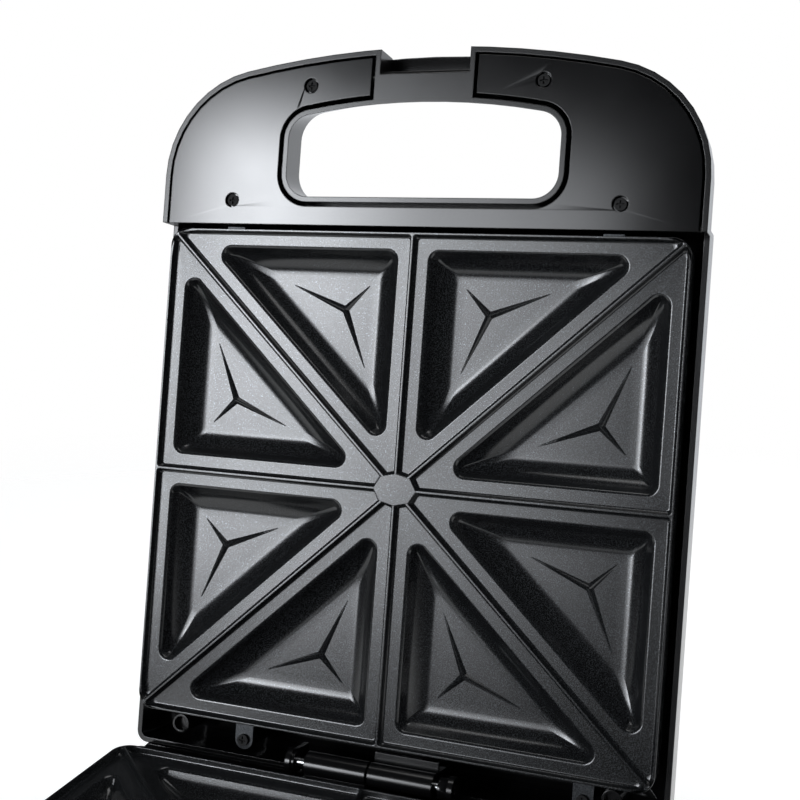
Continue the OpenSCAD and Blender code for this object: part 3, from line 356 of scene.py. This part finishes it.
# A point outside the plate's round corner is drawn in to the arc about the corner's centre.
def clampCorner(points, inset):
    radius = plate["cornerRadius"] - inset
    centre = np.array([plate["width"], plate["depth"]]) / 2 - plate["cornerRadius"]
    away = points - centre
    far = np.linalg.norm(away, axis=1, keepdims=True)
    outside = (away > 0).all(1, keepdims=True) & (far > radius)
    return np.where(outside, centre + away * radius / np.maximum(far, 1e-9), points)


# Rings of one sector from the rib's middle down to the pocket's floor, then in to the floor's middle. A
# pocket's corners lose as much radius as the wall has run inwards, down to the floor's own corner radius.
def sectorRows(side):
    p = plate
    rib = bendProfile((p["ribFlat"] - p["ribTop"] / 2, p["crest"]), p["ribHeight"], p["ribAngle"],
                      p["ribRound"], p["ribFoot"])
    pocket = bendProfile((p["margin"] - p["lipIn"], landN), p["pocketDepth"], p["wallAngle"], p["lip"],
                         p["floorFillet"], p["pocketSteps"])
    outer = roundedTriangle(sectorCorners(side, 0, p["ribEdge"]), p["tipCorner"])
    rings = [atHeight(clampCorner(outer, p["ribEdge"]), p["crest"])]
    for run, height in rib:
        corners = sectorCorners(side, p["ribTop"] / 2 + run, p["ribTop"] + run)
        ring = clampCorner(roundedTriangle(corners, p["landCorner"]), p["ribTop"] + run)
        rings.append(atHeight(ring, height))
    for inset, height in pocket:
        radius = max(p["pocketCorner"] - (inset - pocket[0, 0]), p["floorCorner"])
        rings.append(atHeight(roundedTriangle(sectorCorners(side, inset, inset), radius), height))
    middle = np.append(starMiddle(side), floorN)
    foot = atHeight(rings[-1][:, :2], floorN)
    rings += [middle + (foot - middle) * scale for scale in p["floorScales"]]
    return np.stack(rings)


# Middle of the circle inside the floor: corners weighted by the length of the opposite side.
def starMiddle(side):
    corners = sectorCorners(side, plate["cornerInset"], plate["cornerInset"])
    weight = np.linalg.norm(np.roll(corners, -1, 0) - np.roll(corners, 1, 0), axis=1)
    return (corners * weight[:, None]).sum(0) / weight.sum()


# Each arm is a grid along its length t and across its width u: its half width runs from the waist's to the
# tip's, and its height is (1 - t) ** starFade times a ridge, sqrt(1 + r) - sqrt(u * u + r), round on top.
def starBlocks(side):
    corners = sectorCorners(side, plate["cornerInset"], plate["cornerInset"])
    middle = starMiddle(side)
    ways = corners - middle
    t = np.linspace(0, 1, plate["starSteps"][0])[:, None]
    u = np.linspace(-1, 1, plate["starSteps"][1])[None]
    r = plate["starRidge"]
    ridge = (math.sqrt(1 + r) - np.sqrt(u * u + r)) / (math.sqrt(1 + r) - math.sqrt(r))
    longest = np.linalg.norm(ways, axis=1).argmax()
    arms = []
    for corner, way in enumerate(ways):
        along = unit(way)
        across = np.array([-along[1], along[0]])
        reach = plate["starReach"][1 if corner == longest else 0] * np.linalg.norm(way)
        width = plate["starWaist"] * (1 - t) + plate["starTip"] * t
        flat = middle + (t * reach)[..., None] * along + (u * width)[..., None] * across
        height = floorN - plate["starSink"] + plate["starHeight"] * (1 - t) ** plate["starFade"] * ridge
        arms.append(gridBlock(np.concatenate([flat, height[..., None]], -1), flip=True))
    return arms


# The block in all four quarters of the plate; a single mirror turns its faces round.
def quarterBlocks(block, flip=False):
    points, faces = block
    made = []
    for sx, sy in ((1, 1), (-1, 1), (-1, -1), (1, -1)):
        turned = points * np.array([sx, sy, 1]) + plateMiddle
        made.append((turned, faces[:, ::-1] if (sx * sy < 0) != flip else faces))
    return made


# Underside of one sector: flat at the cast thickness, with the pocket's outer wall standing down from it.
# Each ring has its inset from the ribs, its inset from the edge, its corner radius and its height.
def underRings(side):
    p = plate
    near, far = p["margin"] - p["cast"], p["margin"] + p["underRun"] - p["cast"]
    steps = ((0, p["cast"], p["tipCorner"], landN - p["cast"]),
             (near, near, p["pocketCorner"], landN - p["cast"]),
             (far, far, p["pocketCorner"] / 2, floorN - p["cast"]))
    return np.stack([atHeight(roundedTriangle(sectorCorners(side, ribIn, edgeIn), radius), height)
                     for ribIn, edgeIn, radius, height in steps])


# Rim: from the crest over a quarter circle of radius ribEdge, down the skirt and up its inner face.
def rimRings():
    p = plate
    bottom = p["crest"] - p["skirt"]
    t = np.linspace(0, np.pi / 2, p["edgeSteps"])
    edge = np.stack([p["ribEdge"] - p["ribEdge"] * np.sin(t),
                     p["crest"] - p["ribEdge"] + p["ribEdge"] * np.cos(t)], 1)
    profile = np.vstack([edge, [[0, bottom + p["skirtEdge"]], [p["skirtEdge"], bottom], [p["cast"], bottom],
                                [p["cast"], landN - p["cast"]]]])
    rings = []
    for inset, height in profile:
        radius = max(p["cornerRadius"] - inset, p["leastCorner"])
        halfX, halfY = p["width"] / 2 - inset, p["depth"] / 2 - inset
        rings.append(atHeight(roundedRectangle(halfX, halfY, radius, p["cornerSteps"]), height))
    return np.stack(rings)


# The hub's outline, each point moved out from the middle by a step's growth, with the ribs' flank below.
def hubRings():
    w, d = hub["size"][0] / 2, hub["size"][1] / 2
    sx, sy = w * hub["shoulder"][0], d * hub["shoulder"][1]
    outline = np.array([[w, 0], [sx, sy], [0, d], [-sx, sy], [-w, 0], [-sx, -sy], [0, -d], [sx, -sy]])
    reach = np.linalg.norm(outline, axis=1, keepdims=True)
    steps = [(grow, plate["crest"] + rise) for grow, rise in hub["steps"]]
    steps += [(hub["footGrow"], landN), (hub["footGrow"], landN - hub["sunk"])]
    return np.stack([atHeight(outline * (reach + grow) / reach, height) for grow, height in steps])


# A plate is its sectors, their creases and underside in all four quarters, then the rim and the hub.
def plateBlocks():
    blocks = []
    for side in (True, False):
        rows, under = sectorRows(side), underRings(side)
        middle = starMiddle(side)
        blocks += quarterBlocks(gridBlock(rows, closed=True))
        blocks += quarterBlocks(fanBlock(rows[-1], [[*middle, floorN]]))
        for arm in starBlocks(side):
            blocks += quarterBlocks(arm)
        blocks += quarterBlocks(gridBlock(under, closed=True), flip=True)
        blocks += quarterBlocks(fanBlock(under[-1], [[*middle, floorN - plate["cast"]]]), flip=True)
    boss = hubRings()
    for rings in (rimRings(), boss):
        points, faces = gridBlock(rings, closed=True, flip=True)
        blocks.append((points + plateMiddle, faces))
    top = plate["crest"] + hub["steps"][0][1]
    blocks.append(fanBlock(boss[0] + plateMiddle, [plateMiddle + np.array([0, 0, top])]))
    return blocks


for half in halves:
    piece = makePiece(half + "PlateSurface", plateBlocks(), half, nonStick)
    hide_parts(half + "_plate")
    print("plate", half, len(piece.data.polygons), "faces")


# Distances in metres, angles in degrees and areas in square metres. The bevel radius is in each material.
soften = {"merge": 2e-6, "joinAngle": 0.6, "sharpFrom": 28, "shellFlat": 0.001, "coverFlat": 0}


# The node's own shape, merged, with flat faces joined. Faces of flatFrom or more are shaded flat, and the
# others by normals weighted by area.
def softenedCopy(node, name, material, flatFrom):
    source = frame["nodes"][node]
    bm = bmesh.new()
    bm.from_mesh(source.data)
    bmesh.ops.remove_doubles(bm, verts=bm.verts, dist=soften["merge"])
    joinAngle = math.radians(soften["joinAngle"])
    bmesh.ops.dissolve_limit(bm, angle_limit=joinAngle, verts=bm.verts, edges=bm.edges)
    mesh = bpy.data.meshes.new(name)
    bm.to_mesh(mesh)
    bm.free()
    mesh.shade_smooth()
    areas = np.empty(len(mesh.polygons))
    mesh.polygons.foreach_get("area", areas)
    mesh.polygons.foreach_set("use_smooth", areas < flatFrom)
    mesh.set_sharp_from_angle(angle=math.radians(soften["sharpFrom"]))
    mesh.materials.clear()
    mesh.materials.append(material)
    piece = bpy.data.objects.new(name, mesh)
    bpy.context.scene.collection.objects.link(piece)
    weighted = piece.modifiers.new("normals", "WEIGHTED_NORMAL")
    weighted.keep_sharp = True
    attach(piece, source["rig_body"])
    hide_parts(node)


for half in halves:
    softenedCopy(half + "_shell", half + "ShellSurface", shellPlastic, soften["shellFlat"])
    softenedCopy(half + "_handle_cover", half + "CoverSurface", coverPlastic,
                 soften["coverFlat"])
print("shells and covers ready")


# Lengths in metres; lift is the floor's own light for eye, mirror and glass rays.
stage = {"floorSize": 3.0, "floor": "#efefed", "roughness": 0.8, "fibreScale": 900.0, "fibreHeight": 0.0001,
         "fadeFrom": 0.45, "fadeTo": 1.2, "lift": 0.35}


# Pale paper. For eye, mirror and glass rays it has a little light of its own, so that it reads white,
# and it still takes the shadow. It fades out with distance, into the white behind.
def floorMaterial():
    material = bpy.data.materials.new("pale_paper")
    material.use_nodes = True
    tree = material.node_tree
    shader = tree.nodes["Principled BSDF"]
    place = addNode(tree, "TexCoord").outputs["Object"]
    fibre = addNode(tree, "TexNoise", {"Vector": place, "Scale": stage["fibreScale"]}).outputs["Fac"]
    shader.inputs["Base Color"].default_value = hexColour(stage["floor"])
    shader.inputs["Roughness"].default_value = stage["roughness"]
    shader.inputs["Emission Color"].default_value = (1, 1, 1, 1)
    bump = addNode(tree, "Bump", {"Height": fibre, "Distance": stage["fibreHeight"]})
    tree.links.new(bump.outputs["Normal"], shader.inputs["Normal"])
    path = addNode(tree, "LightPath")
    seen = path.outputs["Is Camera Ray"]
    for ray in ("Is Glossy Ray", "Is Transmission Ray"):
        seen = addNode(tree, "Math", {0: seen, 1: path.outputs[ray]}, operation="MAXIMUM").outputs[0]
    glow = addNode(tree, "Math", {0: seen, 1: stage["lift"]}, operation="MULTIPLY").outputs[0]
    tree.links.new(glow, shader.inputs["Emission Strength"])
    far = addNode(tree, "VectorMath", {0: place}, operation="LENGTH").outputs["Value"]
    fade = addNode(tree, "MapRange", {
        "Value": far, "From Min": stage["fadeFrom"], "From Max": stage["fadeTo"]},
        interpolation_type="SMOOTHSTEP").outputs["Result"]
    clear = addNode(tree, "BsdfTransparent").outputs[0]
    mixed = addNode(tree, "MixShader", {0: fade, 1: shader.outputs[0], 2: clear}).outputs[0]
    tree.links.new(mixed, tree.nodes["Material Output"].inputs["Surface"])
    return material


floorMesh = bpy.data.meshes.new("floor")
reach = stage["floorSize"] / 2
floorMesh.from_pydata([(-reach, -reach, 0), (reach, -reach, 0), (reach, reach, 0), (-reach, reach, 0)], [],
                      [(0, 1, 2, 3)])
floorMesh.materials.append(floorMaterial())
floor = bpy.data.objects.new("floor", floorMesh)
bpy.context.scene.collection.objects.link(floor)

# The key light is a soft box at the front left, so far off that it is drawn on the world: across gives its
# strength over the bearing from -Y, in degrees with left negative, and upward over the height. What stands
# behind the object is white to eye, mirror and glass, and mirrors see a dark studio at the front.
studio = {
    "fill": 0.5, "front": 0.02, "back": (0.75, 0.92), "key": 21, "tint": (0.955, 0.985, 1.03, 1),
    "across": ((-34, 0), (-29.8, 1), (-27.5, 1), (-25, 0.72), (-21, 0.35), (-13, 0.21), (-10.5, 0.08),
               (-9.2, 0)),
    "upward": ((-2, 0), (0.5, 0.5), (5, 0.62), (9, 0.72), (13, 0.82), (18, 1), (20.5, 1), (22.5, 0.4),
               (24, 0.08), (25.5, 0)),
    "lamps": {"topSoftBox": ((0.1, 0.35, 1.3), (0, 0.1, 0.1), (0.9, 0.9), 5),
              "backSoftBox": ((0.7, 0.9, 0.7), (0, 0.1, 0.2), (0.5, 0.7), 2.5)}}
world = bpy.data.worlds.new("studio")
world.use_nodes = True
bpy.context.scene.world = world
tree = world.node_tree


# A ramp of grey over an angle in radians, with its stops given in degrees.
def angleRamp(angle, stops):
    low, high = math.radians(stops[0][0]), math.radians(stops[-1][0])
    part = addNode(tree, "MapRange", {"Value": angle, "From Min": low, "From Max": high}).outputs["Result"]
    ramp = addNode(tree, "ValToRGB", {"Fac": part})
    elements = ramp.color_ramp.elements
    elements[0].position, elements[1].position = 0, 1
    for degrees, level in stops[1:-1]:
        elements.new((math.radians(degrees) - low) / (high - low)).color = (level, level, level, 1)
    for stop, level in ((0, stops[0][1]), (len(elements) - 1, stops[-1][1])):
        elements[stop].color = (level, level, level, 1)
    return ramp.outputs["Color"]


direction = addNode(tree, "SeparateXYZ", {0: addNode(tree, "TexCoord").outputs["Generated"]}).outputs
forward = addNode(tree, "Math", {0: direction["Y"], 1: -1.0}, operation="MULTIPLY").outputs[0]
bearing = addNode(tree, "Math", {0: direction["X"], 1: forward}, operation="ARCTAN2").outputs[0]
height = addNode(tree, "Math", {0: direction["Z"]}, operation="ARCSINE").outputs[0]
box = addNode(tree, "Math", {
    0: angleRamp(bearing, studio["across"]), 1: angleRamp(height, studio["upward"])},
    operation="MULTIPLY").outputs[0]
key = addNode(tree, "Math", {0: box, 1: studio["key"]}, operation="MULTIPLY").outputs[0]
path = addNode(tree, "LightPath")
behind = addNode(tree, "MapRange", {
    "Value": direction["Y"], "From Min": studio["back"][0], "From Max": studio["back"][1],
    "To Min": studio["front"], "To Max": 1.0}, interpolation_type="SMOOTHSTEP").outputs["Result"]
around = addNode(tree, "Mix", {
    "Factor": path.outputs["Is Diffuse Ray"], "A": behind, "B": studio["fill"]}).outputs["Result"]
lit = addNode(tree, "Math", {0: around, 1: key}, operation="ADD").outputs[0]
level = addNode(tree, "Mix", {"Factor": path.outputs["Is Camera Ray"], "A": lit, "B": 1.0}).outputs["Result"]
tree.links.new(level, tree.nodes["Background"].inputs["Strength"])
tint = addNode(tree, "Mix", {"Factor": path.outputs["Is Camera Ray"]}, data_type="RGBA")
tint.inputs["A"].default_value = studio["tint"]
tint.inputs["B"].default_value = (1, 1, 1, 1)
tree.links.new(tint.outputs["Result"], tree.nodes["Background"].inputs["Color"])


# A rectangular area lamp that faces its target: its pitch is the angle from straight down, and its yaw is
# the bearing of the target.
def softBox(name, place, target, size, watts):
    lamp = bpy.data.lights.new(name, "AREA")
    lamp.shape = "RECTANGLE"
    lamp.size, lamp.size_y = size
    lamp.energy = watts
    thing = bpy.data.objects.new(name, lamp)
    bpy.context.scene.collection.objects.link(thing)
    thing.location = place
    direction = np.array(target) - np.array(place)
    yaw = math.atan2(direction[0], -direction[1])
    pitch = math.atan2(math.hypot(direction[0], direction[1]), -direction[2])
    thing.rotation_euler = (pitch, 0, yaw + math.pi)


for name, (place, target, size, watts) in studio["lamps"].items():
    softBox(name, place, target, size, watts)
print("studio ready")

view = {"place": (0.183384, -0.341011, 0.303765), "turn": (80.3098, -0.4329, 20.3758), "lens": 54.5076,
        "sensor": 36}
cameraData = bpy.data.cameras.new("camera")
cameraData.lens = view["lens"]
cameraData.sensor_width = view["sensor"]
camera = bpy.data.objects.new("camera", cameraData)
camera.location = view["place"]
camera.rotation_euler = [math.radians(a) for a in view["turn"]]
bpy.context.scene.collection.objects.link(camera)
bpy.context.scene.camera = camera
bpy.context.scene.view_settings.view_transform = "Standard"
